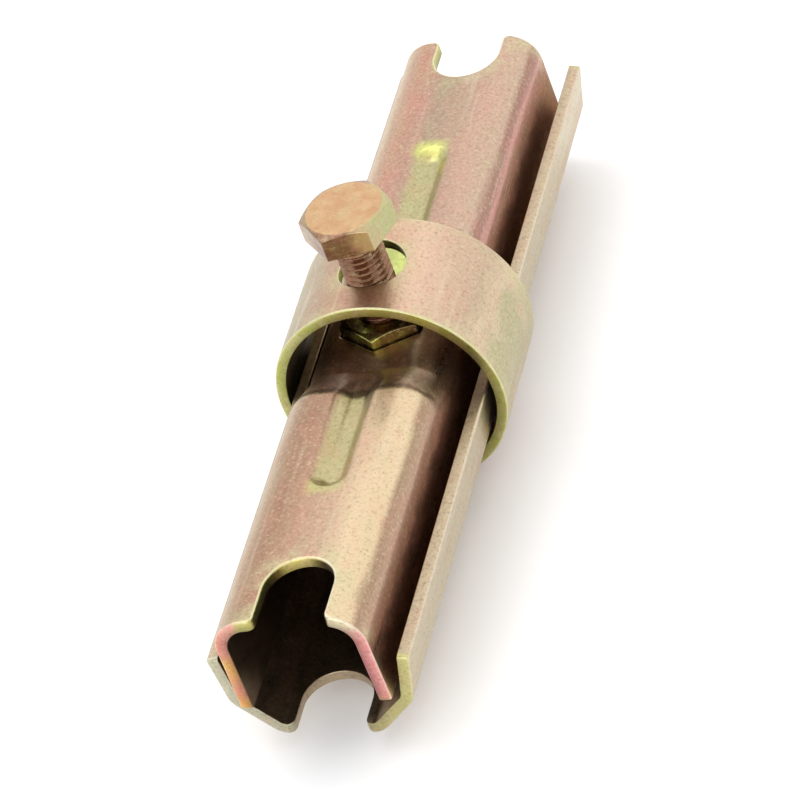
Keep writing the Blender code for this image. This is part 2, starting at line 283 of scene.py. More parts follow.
def fill(bm, loops, grid, clear, spot):
    """Faces inside the first loop and outside the rest, through the grid's points. A loop is
    (flat points, their vertices), and spot gives a grid point's vertex."""
    flat = [p for points, _ in loops for p in points]
    verts = [v for _, made in loops for v in made]
    grid = np.array(grid)
    rim = np.array(flat)
    near = np.array([np.hypot(*(rim - p).T).min() for p in grid])
    grid = grid[near > clear]
    edges = []
    first = 0
    for points, _ in loops:
        count = len(points)
        edges += [(first + i, first + (i + 1) % count) for i in range(count)]
        first += count
    coords = [Vector(p) for p in flat] + [Vector(p) for p in grid]
    out, _, faces, origins, _, _ = geometry.delaunay_2d_cdt(coords, edges, [], 1, 1e-7)
    places = np.array([list(p) for p in out])
    centres = np.array([places[list(f)].mean(axis=0) for f in faces])
    keep = np.ones(len(faces), bool)
    for points, _ in loops[1:]:
        keep &= ~inside(points, centres)
    made = {}
    for face in (f for f, kept in zip(faces, keep) if kept):
        corners = []
        for i in face:
            source = origins[i][0]
            if source < len(verts):
                corners.append(verts[source])
                continue
            if source not in made:
                made[source] = spot(*coords[source])
            corners.append(made[source])
        bm.faces.new(corners)


def bridge(bm, rings):
    """Quads between rings of the same length, each ring closed on itself."""
    for one, two in zip(rings, rings[1:]):
        for i in range(len(one)):
            j = (i + 1) % len(one)
            corners = list(dict.fromkeys((one[i], one[j], two[j], two[i])))
            if len(corners) > 2:
                bm.faces.new(corners)


def edge_steps(rolled, sharp):
    """(inset, depth under the outer surface) down a cut edge: rolled over at first, nearly square
    at last. Their depth is a share of the sheet's thickness."""
    turns = [math.pi / 2 * i / EDGE_STEPS for i in range(EDGE_STEPS + 1)]
    steps = [(rolled * (1 - math.sin(a)), rolled * (1 - math.cos(a)) / SHEET) for a in turns]
    steps += [(sharp * (1 - math.cos(a)), 1 - sharp * (1 - math.sin(a)) / SHEET) for a in turns]
    return steps


def mark_near_edges(bm):
    """Gives each point 1 near a cut edge, falling to nothing at EDGE_REACH from it."""
    cut = bm.verts.layers.float["cut"]
    edge = bm.verts.layers.float.new("edge")
    rim = [v.co.copy() for v in bm.verts if v[cut] > 0.5]
    tree = kdtree.KDTree(len(rim))
    for i, spot in enumerate(rim):
        tree.insert(spot, i)
    tree.balance()
    for vert in bm.verts:
        vert[edge] = 1.0 - smoothstep(0.5, EDGE_REACH, tree.find(vert.co)[2])


def new_piece(node, bm, body, material, matrix, sharp=None):
    """The mesh as a piece of the object that stands for a CAD node. Points come in millimetres."""
    name = node + "_detail"
    bmesh.ops.recalc_face_normals(bm, faces=bm.faces)
    mesh = bpy.data.meshes.new(name)
    bm.to_mesh(mesh)
    bm.free()
    mesh.transform(Matrix.Scale(MM, 4))
    mesh.shade_smooth()
    if sharp:
        mesh.set_sharp_from_angle(angle=math.radians(sharp))
    mesh.materials.append(material)
    piece = bpy.data.objects.new(name, mesh)
    bpy.context.scene.collection.objects.link(piece)
    piece.matrix_world = matrix
    weigh = piece.modifiers.new("even_shading", "WEIGHTED_NORMAL")
    weigh.keep_sharp = True
    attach(piece, body)
    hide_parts(node)


def sheet_piece(node, body, section, blank, us, ys, drop, material, matrix, hole=None):
    """A half: the blank's outline and grid, bent along the section and pressed in by drop."""
    bm = bmesh.new()
    cut = bm.verts.layers.float.new("cut")
    inner = bm.verts.layers.float.new("inner")
    across = bm.verts.layers.float.new("across")

    def skin(u, y, side):
        x, z = section.at(u, side * SHEET)
        height = (section.at(u)[1] - section.bottom) / (section.top - section.bottom)
        return Vector((x, y, z - drop(x, y, height, side)))

    def vertex(u, place, share, edge):
        vert = bm.verts.new(place)
        vert[cut] = edge
        vert[inner] = share
        vert[across] = u
        return vert

    def spot(side):
        return lambda u, y: vertex(u, skin(u, y, side), side, 0.0)

    def edge_ring(points_at, rolled, sharp):
        rings = []
        steps = edge_steps(rolled, sharp)
        for i, (inset, share) in enumerate(steps):
            edge = 0.0 if i in (0, len(steps) - 1) else 1.0
            turns, outer, under = points_at(inset)
            spots = zip(turns, outer, under)
            rings.append([vertex(u, a.lerp(b, share), share, edge) for u, a, b in spots])
        bridge(bm, rings)
        return rings

    def rim_points(inset):
        loop = blank.outline(inset, us, ys)
        turns = [u for u, _ in loop]
        return turns, [skin(u, y, 0) for u, y in loop], [skin(u, y, 1) for u, y in loop]

    rings = edge_ring(rim_points, ROLLED_EDGE, SHARP_EDGE)
    loops = [[(blank.outline(ROLLED_EDGE, us, ys), rings[0])]]
    loops.append([(blank.outline(SHARP_EDGE, us, ys), rings[-1])])
    if hole:
        def hole_points(inset):
            points = hole(inset)
            turns = [section.u_at(x) for x, _ in points]
            outer = [skin(u, y, 0) for u, (_, y) in zip(turns, points)]
            return turns, outer, [skin(section.u_at(x, SHEET), y, 1) for x, y in points]

        hole_rings = edge_ring(hole_points, HOLE_EDGE, SHARP_EDGE)
        for side, inset, ring in ((0, HOLE_EDGE, hole_rings[0]), (1, SHARP_EDGE, hole_rings[-1])):
            flat = [(section.u_at(x, side * SHEET), y) for x, y in hole(inset)]
            loops[side].append((flat, ring))
    grid = [(u, y) for u in us for y in ys]
    clear = 0.45 * (us[1] - us[0])
    for side in (0, 1):
        fill(bm, loops[side], grid, clear, spot(side))
    mark_near_edges(bm)
    new_piece(node, bm, body, material, matrix)


def hexagon(across, corner_radius, turn, corner_steps=3, flat_steps=9):
    """A hexagon with rounded corners, its first corner at that turn, anticlockwise."""
    centre = (across / 2 - corner_radius) / math.cos(math.pi / 6)
    points = []
    for side in range(6):
        middle = turn + side * math.pi / 3
        hub = Vector((centre * math.cos(middle), centre * math.sin(middle)))
        for step in range(corner_steps + 1):
            a = middle + math.pi / 6 * (2 * step / corner_steps - 1)
            points.append(hub + corner_radius * Vector((math.cos(a), math.sin(a))))
        onward = middle + math.pi / 3
        goal = Vector((centre * math.cos(onward), centre * math.sin(onward)))
        a = middle + math.pi / 6
        goal += corner_radius * Vector((math.cos(a), math.sin(a)))
        start = points[-1]
        points += [start.lerp(goal, step / flat_steps) for step in range(1, flat_steps)]
    return points


def circle_through(angles, radius, height):
    return [Vector((radius * math.cos(a), radius * math.sin(a), height)) for a in angles]


def chamfered_end(outline, height, outward):
    """Rings from a hexagon end's flat face over its turned chamfer to its sides."""
    angles = [math.atan2(p.y, p.x) for p in outline]
    rings = [circle_through(angles, CHAMFER_RADIUS - 0.15, height)]
    rings.append(circle_through(angles, CHAMFER_RADIUS + 0.02, height - 0.05 * outward))
    for inset, under in ((0.25, 0.0), (0.06, 0.04), (0.0, 0.2)):
        ring = []
        for p in outline:
            reach = p.length - inset
            fall = max(reach - CHAMFER_RADIUS, 0.06) * CHAMFER_SLOPE + under
            spot = p.normalized() * reach
            ring.append(Vector((spot.x, spot.y, height - outward * fall)))
        rings.append(ring)
    return rings


def thread(bm, angles, low, high, radius_at):
    """A right-hand helical surface between two heights, where radius_at(depth, height) makes its
    ends plain. Its rows follow the thread, so that crests stay crisp."""
    per_turn = len(THREAD_PHASES)
    count = len(angles)
    first = math.floor(low / PITCH) - 2
    last = math.ceil(high / PITCH) + 2
    rows = []
    for turn in range(first, last):
        for phase, depth in THREAD_PHASES:
            row = []
            for a in angles:
                height = min(max((turn + phase + a / (2 * math.pi)) * PITCH, low), high)
                radius = radius_at(depth, height)
                row.append(bm.verts.new((radius * math.cos(a), radius * math.sin(a), height)))
            rows.append(row)
    for j in range(len(rows) - 1):
        for i in range(count):
            if i + 1 < count:
                bm.faces.new((rows[j][i], rows[j][i + 1], rows[j + 1][i + 1], rows[j + 1][i]))
            elif j + 1 + per_turn < len(rows):
                over = j + per_turn
                bm.faces.new((rows[j][i], rows[over][0], rows[over + 1][0], rows[j + 1][i]))


def ring_verts(bm, rings):
    return [[bm.verts.new(p) for p in ring] for ring in rings]


def cap(bm, ring, middle, steps=1):
    """Closes a ring with shrinking rings and a point."""
    centre = bm.verts.new(middle)
    rings = [ring]
    for step in range(1, steps):
        share = step / steps
        rings.append([bm.verts.new(v.co.lerp(centre.co, share)) for v in ring])
    bridge(bm, rings)
    inner = rings[-1]
    for i in range(len(inner)):
        bm.faces.new((inner[i], inner[(i + 1) % len(inner)], centre))


def sorted_angles(outline):
    """The outline's angles, rising from the first one by a full turn."""
    angles = [math.atan2(p.y, p.x) for p in outline]
    rising = [angles[0]]
    for a in angles[1:]:
        while a < rising[-1]:
            a += 2 * math.pi
        rising.append(a)
    return rising


def weld_seams(bm):
    bmesh.ops.remove_doubles(bm, verts=bm.verts, dist=1e-4)
    bmesh.ops.dissolve_degenerate(bm, edges=bm.edges, dist=1e-5)


def lower_drop(x, y, height, side):
    return 0.0


def upper_drop(x, y, height, side):
    """How far the upper half is pressed in. The groove's underside is wider than its top."""
    away = abs(y)
    web = smoothstep(*WEB_FADES, height)
    into = ramp(RECESS_FLOOR, RECESS_LIP, away, 0.10)
    recess = RECESS_DEPTH * (1.0 - into)
    floor = GROOVE_FLOOR + 0.9 * side
    reach = GROOVE_SIDE + 1.4 * side
    across = math.hypot(x - GROOVE_X, max(away - (GROOVE_END - GROOVE_SIDE), 0.0))
    groove = GROOVE_DEPTH * (1.0 - ramp(floor, reach, across, 0.22))
    return recess * web + groove * into


def build_lower(material):
    section = Section(LOWER_CORNERS, LOWER_RADII)
    us = np.linspace(-section.half, section.half, 89)
    half = LOWER_HALF / MM
    ys = np.linspace(-half, half, 73)
    blank = Blank(section.half, half, LOWER_NOTCHES)
    matrix = Matrix.Translation((0.0, LOWER_Y, COLLAR_CENTRE.z))
    sheet_piece("lower_half", "lower", section, blank, us, ys, lower_drop, material, matrix)


def screw_frame():
    """Where the nut, welds and bolt are laid out: on the bolt's leaning axis."""
    spot = Matrix.Translation((UPPER_OFFSET * MM, SCREW_Y, COLLAR_CENTRE.z))
    return spot @ Matrix.Rotation(UPPER_LEAN, 4, "Y")


def build_upper(material):
    section = Section(UPPER_CORNERS, UPPER_RADII)
    us = np.linspace(-section.half, section.half, 111)
    half = UPPER_HALF / MM
    ahead = (UPPER_Y - SCREW_Y) / MM
    stretches = [(0.0, RECESS_FLOOR, 9), (RECESS_FLOOR, RECESS_LIP, 20), (RECESS_LIP, GROOVE_END - 6, 14)]
    stretches += [(GROOVE_END - 6, GROOVE_END + 1, 12), (GROOVE_END + 1, half, 20)]
    side = [0.0]
    for start, end, steps in stretches:
        side += list(np.linspace(start, end, steps + 1)[1:])
    ys = np.array([-y for y in reversed(side[1:])] + side)

    def nut_hole(inset):
        across = ACROSS_FLATS + 2 * (NUT_GAP + inset)
        return [(p.x, p.y - ahead) for p in hexagon(across, 0.5 + inset, NUT_CORNER)]

    blank = Blank(section.half, half, UPPER_NOTCHES, UPPER_NOTCH_X)
    matrix = screw_frame() @ Matrix.Translation((0.0, UPPER_Y - SCREW_Y, 0.0))
    sheet_piece("upper_half", "upper", section, blank, us, ys, upper_drop, material, matrix, nut_hole)


def build_collar(material):
    """A slice of tube, flat as (distance round, y), with a hole square to the leaning bolt."""
    bm = bmesh.new()
    cut = bm.verts.layers.float.new("cut")
    inner = bm.verts.layers.float.new("inner")
    half = COLLAR_HALF / MM
    turns = np.linspace(-math.pi, math.pi, COLLAR_SEGMENTS + 1)
    across = Vector((math.cos(UPPER_LEAN), 0.0, -math.sin(UPPER_LEAN)))
    up = Vector((math.sin(UPPER_LEAN), 0.0, math.cos(UPPER_LEAN)))

    def vertex(place, share, edge):
        vert = bm.verts.new(place)
        vert[cut] = edge
        vert[inner] = share
        return vert

    def on_tube(a, y, radius):
        return Vector((radius * math.sin(a), y, radius * math.cos(a)))

    def on_hole(turn, hole_radius, radius):
        start = hole_radius * (math.cos(turn) * across + math.sin(turn) * Vector((0, 1, 0)))
        along = start.dot(up)
        gap = radius**2 - start.x**2 - start.z**2
        return start + up * (-along + math.sqrt(along**2 + gap))

    steps = []
    for inset, share in edge_steps(COLLAR_EDGE, SHARP_EDGE):
        steps.append((inset, TUBE_RADIUS - share * COLLAR_WALL))
    skins = []
    for end in (-1, 1):
        rings = []
        for k, (inset, radius) in enumerate(steps):
            edge = 0.0 if k in (0, len(steps) - 1) else 1.0
            share = (TUBE_RADIUS - radius) / COLLAR_WALL
            y = end * (half - inset)
            rings.append([vertex(on_tube(a, y, radius), share, edge) for a in turns[:-1]])
        bridge(bm, rings)
        skins.append((rings[0], rings[-1]))
    hole_turns = [2 * math.pi * i / 64 for i in range(64)]
    hole_rings = []
    hole_steps = edge_steps(HOLE_EDGE, SHARP_EDGE)
    for k, (inset, share) in enumerate(hole_steps):
        edge = 0.0 if k in (0, len(hole_steps) - 1) else 1.0
        radius = TUBE_RADIUS - share * COLLAR_WALL
        ring = [vertex(on_hole(t, COLLAR_HOLE + inset, radius), share, edge) for t in hole_turns]
        hole_rings.append(ring)
    bridge(bm, hole_rings)
    for side, radius in ((0, TUBE_RADIUS), (1, TUBE_RADIUS - COLLAR_WALL)):
        inset = COLLAR_EDGE if side == 0 else SHARP_EDGE
        edge = half - inset
        near, far = skins[0][side], skins[1][side]
        seam_ys = np.linspace(-edge, edge, 16)[1:-1]
        seam = [vertex(on_tube(math.pi, y, radius), side, 0.0) for y in seam_ys]
        flat = [(a * TUBE_RADIUS, -edge) for a in turns]
        flat += [(math.pi * TUBE_RADIUS, y) for y in seam_ys]
        flat += [(a * TUBE_RADIUS, edge) for a in turns[::-1]]
        flat += [(-math.pi * TUBE_RADIUS, y) for y in seam_ys[::-1]]
        verts = near + [near[0]] + seam + [far[0]] + far[::-1] + seam[::-1]
        rim = hole_rings[-1] if side else hole_rings[0]
        rim_flat = [(math.atan2(v.co.x, v.co.z) * TUBE_RADIUS, v.co.y) for v in rim]
        grid = [(a * TUBE_RADIUS, y) for a in turns[1:-1] for y in seam_ys]

        def spot(u, y, radius=radius, side=side):
            return vertex(on_tube(u / TUBE_RADIUS, y, radius), side, 0.0)

        fill(bm, [(flat, verts), (rim_flat, rim)], grid, 0.4, spot)
    mark_near_edges(bm)
    matrix = Matrix.Translation(COLLAR_CENTRE)
    new_piece("collar", bm, "collar", material, matrix)


def build_bolt(material):
    bm = bmesh.new()
    cut = bm.verts.layers.float.new("cut")
    outline = hexagon(ACROSS_FLATS, HEX_CORNER_RADIUS, HEAD_CORNER)
    angles = sorted_angles(outline)
    under = BOLT_TIP + BOLT_LENGTH
    top = under + HEAD_HEIGHT
    crown = []
    for radius in (2.5, 5.0, 7.0):
        rise = CROWN_RISE * (1 - (radius / CHAMFER_RADIUS) ** 2)
        crown.append(circle_through(angles, radius, top + rise))
    sides = chamfered_end(outline, top, 1)
    low = [Vector((p.x, p.y, under + 0.7)) for p in outline]
    shrunk = [p * (1 - 0.18 / p.length) for p in outline]
    low_edge = [Vector((p.x, p.y, under + 0.45)) for p in shrunk]
    washer = [(WASHER_RADIUS, 0.35), (WASHER_RADIUS - 0.1, 0.06), (WASHER_RADIUS - 0.2, 0.0)]
    neck = [(MAJOR + 0.55, 0.0), (MAJOR + 0.2, -0.15), (MAJOR - 0.25, -0.6), (NECK_RADIUS, -NECK)]
    turned = [circle_through(angles, radius, under + rise) for radius, rise in washer + neck]
    rings = ring_verts(bm, crown + sides + [low, low_edge] + turned)
    bridge(bm, rings)
    cap(bm, rings[0], (0.0, 0.0, top + CROWN_RISE))
    for vert in bm.verts:
        if vert.co.z > top - 0.04:
            vert[cut] = 1.0

    def radius_at(depth, height):
        fade = smoothstep(under - NECK - 1.2 * PITCH, under - NECK, height)
        radius = (MAJOR + depth) * (1 - fade) + NECK_RADIUS * fade
        return min(radius, TIP_RADIUS + (height - BOLT_TIP) * 1.1)

    thread(bm, angles, BOLT_TIP, under - NECK, radius_at)
    tip = ring_verts(bm, [circle_through(angles, TIP_RADIUS, BOLT_TIP)])[0]
    cap(bm, tip, (0.0, 0.0, BOLT_TIP + 0.05), 3)
    weld_seams(bm)
    new_piece("bolt", bm, "bolt", material, screw_frame(), sharp=50)


def build_nut(material):
    bm = bmesh.new()
    outline = hexagon(ACROSS_FLATS, HEX_CORNER_RADIUS, NUT_CORNER)
    angles = sorted_angles(outline)
    low = NUT_TOP - NUT_HEIGHT
    mouth = circle_through(angles, COUNTERSINK, NUT_TOP)
    foot = circle_through(angles, COUNTERSINK, low)
    upper = chamfered_end(outline, NUT_TOP, 1)
    lower = chamfered_end(outline, low, -1)[::-1]
    bridge(bm, ring_verts(bm, [mouth] + upper + lower + [foot]))

    def radius_at(depth, height):
        edge = min(NUT_TOP - height, height - low)
        return max(MAJOR + depth + THREAD_CLEARANCE, COUNTERSINK - edge * 1.2)

    thread(bm, angles, low, NUT_TOP, radius_at)
    weld_seams(bm)
    new_piece("nut", bm, "upper", material, screw_frame(), sharp=50)


def build_weld(node, turn, material):
    """A rough bead in the corner between the nut's side and the recess, thick and thin by turns."""
    bm = bmesh.new()
    flat = ACROSS_FLATS / 2 + 0.1
    under = WEB_TOP - RECESS_DEPTH - SHEET - 0.1
    rings = []
    for i in range(WELD_RINGS + 1):
        t = i / WELD_RINGS
        bulge = math.sqrt(max(1 - (2 * t - 1) ** 4, 0.02))
        size = WELD_SIZE * bulge * (0.86 + 0.14 * abs(math.sin(3.5 * math.pi * t)))
        profile = []
        for k in range(WELD_ARC + 1):
            a = math.pi / 2 * k / WELD_ARC
            reach = size * (1 + 0.08 * noise.noise(Vector((t * 9, k * 0.7, turn))))
            profile.append((reach * math.cos(a), -reach * math.sin(a)))
        profile += [(0.0, -size * 0.5), (0.0, 0.0)]
        rings.append([Vector((flat + x, (t - 0.5) * WELD_LENGTH, under + z)) for x, z in profile])
    made = ring_verts(bm, rings)
    bridge(bm, made)
    bm.faces.new(made[0])
    bm.faces.new(made[-1])
    bmesh.ops.rotate(bm, verts=bm.verts, matrix=Matrix.Rotation(turn, 3, "Z"))
    new_piece(node, bm, "upper", material, screw_frame())


def srgb(red, green, blue):
    """A colour as an eye sees it on a screen, 0 to 255, as the linear values that a shader takes."""
    values = [c / 255 for c in (red, green, blue)]
    return (*[c / 12.92 if c <= 0.04045 else ((c + 0.055) / 1.055) ** 2.4 for c in values], 1.0)


class Nodes:
    """Short calls for a material's node tree."""

    def __init__(self, name):
        self.material = bpy.data.materials.new(name)
        self.material.use_nodes = True
        self.tree = self.material.node_tree
        self.shader = self.tree.nodes["Principled BSDF"]

    def add(self, kind, **settings):
        node = self.tree.nodes.new("ShaderNode" + kind)
        for key, value in settings.items():
            if key in node.inputs:
                self.join(value, node.inputs[key])
            else:
                setattr(node, key, value)
        return node

    def join(self, value, socket):
        if isinstance(value, bpy.types.NodeSocket):
            self.tree.links.new(value, socket)
        else:
            socket.default_value = value

    def noise(self, vector, scale, detail=3.0, roughness=0.5, stretch=None):
        if stretch:
            vector = self.add("Mapping", Vector=vector, Scale=stretch).outputs["Vector"]
        found = self.add("TexNoise", Vector=vector, Scale=scale, Detail=detail, Roughness=roughness)
        return found.outputs["Fac"]

    def ramp(self, value, stops):
        node = self.add("ValToRGB", Fac=value)
        node.color_ramp.interpolation = "LINEAR"
        elements = node.color_ramp.elements
        for place, colour in stops[2:]:
            elements.new(place)
        for element, (place, colour) in zip(elements, stops):
            element.position = place
            element.color = colour
        return node.outputs["Color"]

    def grey(self, value, low, high, out_low=0.0, out_high=1.0):
        """The value stretched from one range to another and kept inside it."""
        node = self.tree.nodes.new("ShaderNodeMapRange")
        sources = (value, low, high, out_low, out_high)
        for socket, source in zip(node.inputs, sources):
            self.join(source, socket)
        return node.outputs["Result"]

    def maths(self, operation, one, two=0.0):
        node = self.tree.nodes.new("ShaderNodeMath")
        node.operation = operation
        self.join(one, node.inputs[0])
        self.join(two, node.inputs[1])
        return node.outputs["Value"]

    def mix(self, factor, one, two, blend="MIX"):
        node = self.tree.nodes.new("ShaderNodeMix")
        node.data_type = "RGBA"
        node.blend_type = blend
        self.join(factor, node.inputs["Factor"])
        self.join(one, node.inputs[6])
        self.join(two, node.inputs[7])
        return node.outputs[2]

    def attribute(self, name):
        return self.add("Attribute", attribute_name=name).outputs["Fac"]

    def axis(self, vector, letter):
        return self.add("SeparateXYZ", Vector=vector).outputs[letter]

    def drift(self, value, place, scale, reach, stretch):
        """The value moved up and down by noise, so that what follows it wavers."""
        wander = self.noise(place, scale, 2.0, 0.5, stretch)
        return self.maths("ADD", value, self.grey(wander, 0.3, 0.7, -reach, reach))

    def between(self, value, low, high, out_low=0.0, out_high=1.0):
        """Rises smoothly from one value to another."""
        rise = self.grey(value, low, high, out_low, out_high)
        rise.node.interpolation_type = "SMOOTHSTEP"
        return rise

    def within(self, value, middle, inner, outer):
        """1 up to the inner distance from the middle, 0 beyond the outer one."""
        away = self.maths("ABSOLUTE", self.maths("SUBTRACT", value, middle))
        return self.between(away, inner, outer, 1.0, 0.0)

    def bands(self, value, stops):
        """Colours at places: stops are (place, red, green, blue)."""
        low, high = stops[0][0], stops[-1][0]
        spots = [((place - low) / (high - low), srgb(*colour)) for place, *colour in stops]
        return self.ramp(self.grey(value, low, high), spots)


def plating(name, tint, cut_tint, rough=0.30, inner_shade=0.5, grain=0.4, wear=0.4):
    """Yellow-passivated zinc. tint and cut_tint give the film's broad colours, from the place in
    millimetres, with painted light and shade in some of them. Grain, stains, fine scratches and
    small pits are laid over them, and the inner side is darkened as painted shade."""
    n = Nodes(name)
    place = n.add("TexCoord").outputs["Object"]
    place = n.add("Mapping", Vector=place, Scale=(1000.0, 1000.0, 1000.0)).outputs["Vector"]
    fine = n.noise(place, 1.5, 3.0, 0.6)
    grit = n.noise(place, 4.2, 2.0, 0.6)
    cloud = n.noise(place, 0.32, 4.0, 0.65, (1.0, 0.5, 1.0))
    colour = n.mix(n.attribute("cut"), tint(n, place), cut_tint(n, place))
    colour = n.mix(n.grey(cloud, 0.50, 0.80, 0.0, 0.34), colour, srgb(222, 160, 142))
    colour = n.mix(n.grey(cloud, 0.50, 0.22, 0.0, 0.34), colour, srgb(186, 180, 136))
    colour = n.mix(n.grey(fine, 0.54, 0.72, 0.0, grain), colour, srgb(238, 218, 180))
    colour = n.mix(n.grey(fine, 0.46, 0.30, 0.0, grain), colour, srgb(140, 104, 78))
    pits = n.grey(n.noise(place, 2.6, 2.0, 0.7), 0.63, 0.70, 0.0, 1.3 * grain)
    colour = n.mix(pits, colour, srgb(104, 80, 56))
    # Painted shade: the inner side of each sheet and of the collar is darkened towards dark brown.
    inside = n.maths("MULTIPLY", n.attribute("inner"), inner_shade)
    colour = n.mix(inside, colour, srgb(60, 42, 34))
    scratch = n.grey(n.noise(place, 0.42, 2.0, 0.5, (1.0, 0.05, 1.0)), 0.62, 0.70)
    colour = n.mix(n.maths("MULTIPLY", scratch, 0.18), colour, srgb(236, 218, 190))
    worn = n.maths("MULTIPLY", n.attribute("cut"), n.grey(n.attribute("inner"), 0.14, 0.03))
    colour = n.mix(n.maths("MULTIPLY", worn, wear), colour, srgb(242, 234, 220))
    colour = n.mix(1.0, colour, FILM_GAIN, "MULTIPLY")
    n.join(colour, n.shader.inputs["Base Color"])
    n.shader.inputs["Metallic"].default_value = 1.0
    rough_value = n.grey(cloud, 0.3, 0.7, rough - 0.05, rough + 0.07)
    rough_value = n.maths("ADD", rough_value, n.maths("MULTIPLY", fine, 0.08))
    rough_value = n.maths("ADD", rough_value, n.maths("MULTIPLY", scratch, -0.05))
    n.join(rough_value, n.shader.inputs["Roughness"])
    height = n.maths("ADD", fine, n.maths("MULTIPLY", grit, 0.35))
    height = n.maths("ADD", height, n.maths("MULTIPLY", scratch, -0.25))
    height = n.maths("ADD", height, n.maths("MULTIPLY", n.noise(place, 0.12, 1.0, 0.4), 4.0))
    bump = n.add("Bump", Height=height, Strength=0.5, Distance=0.00006)
    n.join(bump.outputs["Normal"], n.shader.inputs["Normal"])
    return n.material


def upper_film_and_painted_light(n, place):
    """Tan along the web, pink on its left, a mauve line and a bright one along the right bend, and
    brown down that side. Across that bend the darker bands are partly the film's mauve and brown and
    partly painted shade and painted reflection, and the bright line is partly wear on the ridge and
    partly a painted highlight. The grooves' ends and the far ramp get painted highlights, the recess
    ramp and the middle under the collar painted shade."""
    y = n.axis(place, "Y")
    u = n.drift(n.attribute("across"), place, 0.3, 0.7, (1.0, 0.15, 1.0))
    # Colours across the sheet by u. From u 14 to 20 the right bend goes darker, bright, then darker:
    # partly film and wear, partly painted shade and a painted highlight.
    near = [(-34, 190, 160, 132), (-19, 186, 160, 130), (-13, 194, 166, 136), (-8, 170, 132, 110)]
    near += [(-3, 190, 152, 128), (0, 194, 160, 136), (5, 214, 182, 152), (9, 228, 204, 168)]
    near += [(14, 224, 200, 162), (15.4, 168, 140, 114), (17.4, 184, 150, 126), (18.6, 192, 152, 130)]
    near += [(19.8, 164, 122, 98), (23, 190, 136, 110), (34, 200, 146, 120)]
    far = [(-34, 190, 160, 132), (-19, 190, 168, 142), (-13, 210, 184, 154), (-8, 200, 152, 132)]
    far += [(-5, 194, 152, 134), (-2, 180, 156, 132), (4, 192, 160, 138), (9, 204, 168, 148)]
    far += [(14, 200, 172, 150), (15.4, 164, 124, 110), (17.0, 172, 128, 116), (18.2, 208, 152, 142)]
    far += [(19.4, 176, 124, 104), (23, 190, 136, 110), (34, 200, 146, 120)]
    colour = n.mix(n.between(y, -8, 10), n.bands(u, near), n.bands(u, far))
    rim = n.maths("MULTIPLY", n.attribute("edge"), n.grey(n.noise(place, 0.2, 2.0), 0.40, 0.60))
    colour = n.mix(n.maths("MULTIPLY", rim, 0.5), colour, srgb(206, 206, 158))
    flat_x = n.axis(place, "X")
    in_groove = n.within(flat_x, GROOVE_X, 2.6, 4.6)
    along = n.maths("ABSOLUTE", y)
    in_groove = n.maths("MULTIPLY", in_groove, n.within(along, 38.0, 13.0, 17.0))
    colour = n.mix(n.maths("MULTIPLY", in_groove, 0.6), colour, srgb(192, 196, 134))
    # Painted highlight: a bright yellow crescent at each groove's outer end, stronger on the far groove.
    groove_end_highlight_zone = n.within(along, GROOVE_END - 0.8, 0.6, 3.4)
    groove_end_highlight = n.maths("MULTIPLY", n.within(flat_x, GROOVE_X - 1.0, 1.5, 5.0), groove_end_highlight_zone)
    groove_end_highlight = n.maths("MULTIPLY", groove_end_highlight, n.between(y, -10, 10, 0.3, 0.85))
    colour = n.mix(groove_end_highlight, colour, srgb(218, 220, 126))
    # Painted shade: the recess ramp is darkened in patches on the web.
    ramp_shade_patches = n.grey(n.noise(place, 0.35, 4.0, 0.65), 0.38, 0.60)
    on_web = n.within(n.attribute("across"), 0.0, 16.0, 21.0)
    ramp_shade_patches = n.maths("MULTIPLY", ramp_shade_patches, on_web)
    slope = n.maths("MULTIPLY", n.within(along, 19.5, 2.0, 4.0), ramp_shade_patches)
    colour = n.mix(n.maths("MULTIPLY", slope, 0.6), colour, srgb(120, 88, 80))
    # Painted shade: a dark line just under the recess lip.
    lip_shade_line = n.within(n.drift(along, place, 0.25, 0.9, (1.0, 1.0, 1.0)), 23.2, 0.4, 1.4)
    lip_shade_line = n.maths("MULTIPLY", lip_shade_line, on_web)
    colour = n.mix(n.maths("MULTIPLY", lip_shade_line, 0.7), colour, srgb(78, 56, 50))
    # Painted shade: the middle of the upper half, over the recess and under the collar, is browned.
    recess = n.within(along, 0.0, 16.0, 21.0)
    colour = n.mix(n.maths("MULTIPLY", recess, 0.45), colour, srgb(150, 108, 74))
    # Painted reflection: a bright yellow-green patch on the far recess ramp, left of the groove.
    bright = n.maths("MULTIPLY", n.within(y, 19.5, 3.5, 6.0), n.within(flat_x, -3.0, 4.5, 8.0))
    return n.mix(n.maths("MULTIPLY", bright, 0.8), colour, srgb(196, 212, 118))


def upper_cut(n, place):
    """Salmon and orange, with a little olive."""
    x = n.drift(n.axis(place, "X"), place, 0.2, 2.0, (1.0, 1.0, 1.0))
    z = n.axis(place, "Z")
    stops = [(-9, 246, 188, 92), (-3, 240, 158, 130), (4, 244, 190, 104), (8, 238, 160, 142)]
    left = n.bands(n.drift(z, place, 0.3, 1.5, (1.0, 1.0, 1.0)), stops)
    right = n.bands(z, [(-9, 240, 190, 130), (-6, 234, 152, 150), (8, 234, 154, 152), (13, 238, 200, 182)])
    sides = n.mix(n.between(x, -4, 4), left, right)
    stops = [(-10, 244, 176, 160), (-7.5, 206, 204, 124), (-2, 214, 202, 110)]
    stops += [(4, 216, 208, 130), (8, 236, 222, 186)]
    top = n.bands(x, stops)
    return n.mix(n.between(z, 10.0, 12.5), sides, top)


